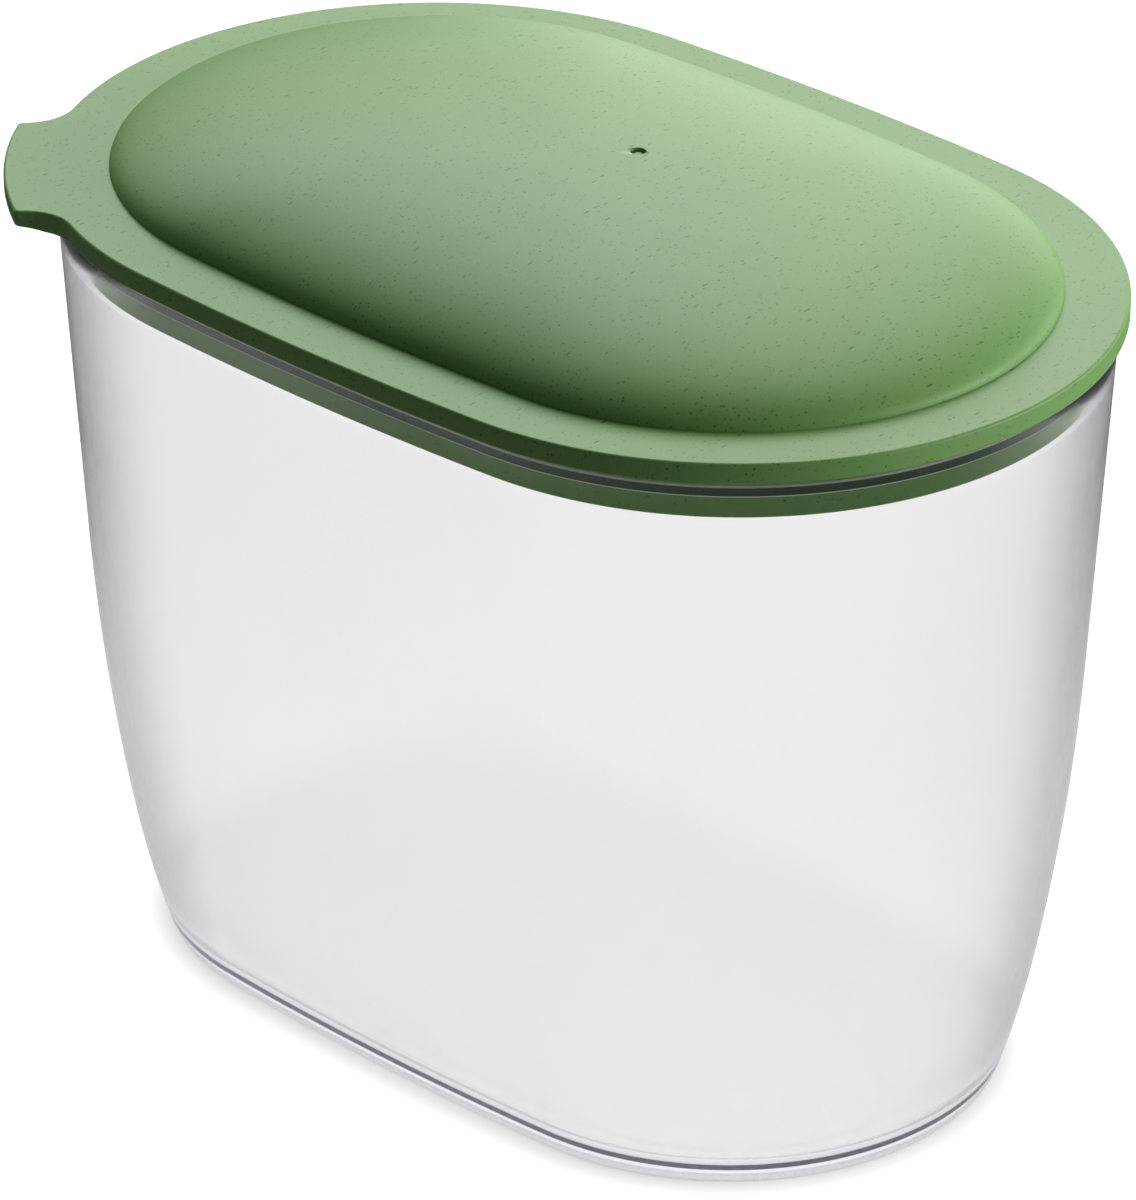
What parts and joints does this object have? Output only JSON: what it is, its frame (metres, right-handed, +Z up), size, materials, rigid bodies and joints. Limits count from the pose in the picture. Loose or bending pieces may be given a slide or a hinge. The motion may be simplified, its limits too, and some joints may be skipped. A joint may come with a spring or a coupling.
{
  "type": "storage jar",
  "caption": "Oval storage jar: a tapered translucent container with a rounded belly, closed by a domed plug-in lid with a pull tab and a seal ring.",
  "frame": {"origin": "on the standing surface, under the middle of the jar", "axes": "+Z up, +X along the length, +Y across the width; the pull tab is at the -X end, turned towards -Y"},
  "size_m": [0.23, 0.1526, 0.1809],
  "materials": {
    "clear_frosted_plastic": "clear, smooth outside and frosted inside",
    "speckled_green_plastic": "matte sage green with fine dark specks",
    "seal_silicone": "dark green and soft, with pale lips"
  },
  "bodies": {
    "container": {"container": "clear_frosted_plastic"},
    "lid": {"lid": "speckled_green_plastic", "seal_ring": "seal_silicone"}
  },
  "joints": [
    {"name": "lid_lift", "type": "slide", "parent": "container", "child": "lid", "axis": [0, 0, 1], "range_m": [0, 0.1]}
  ]
}
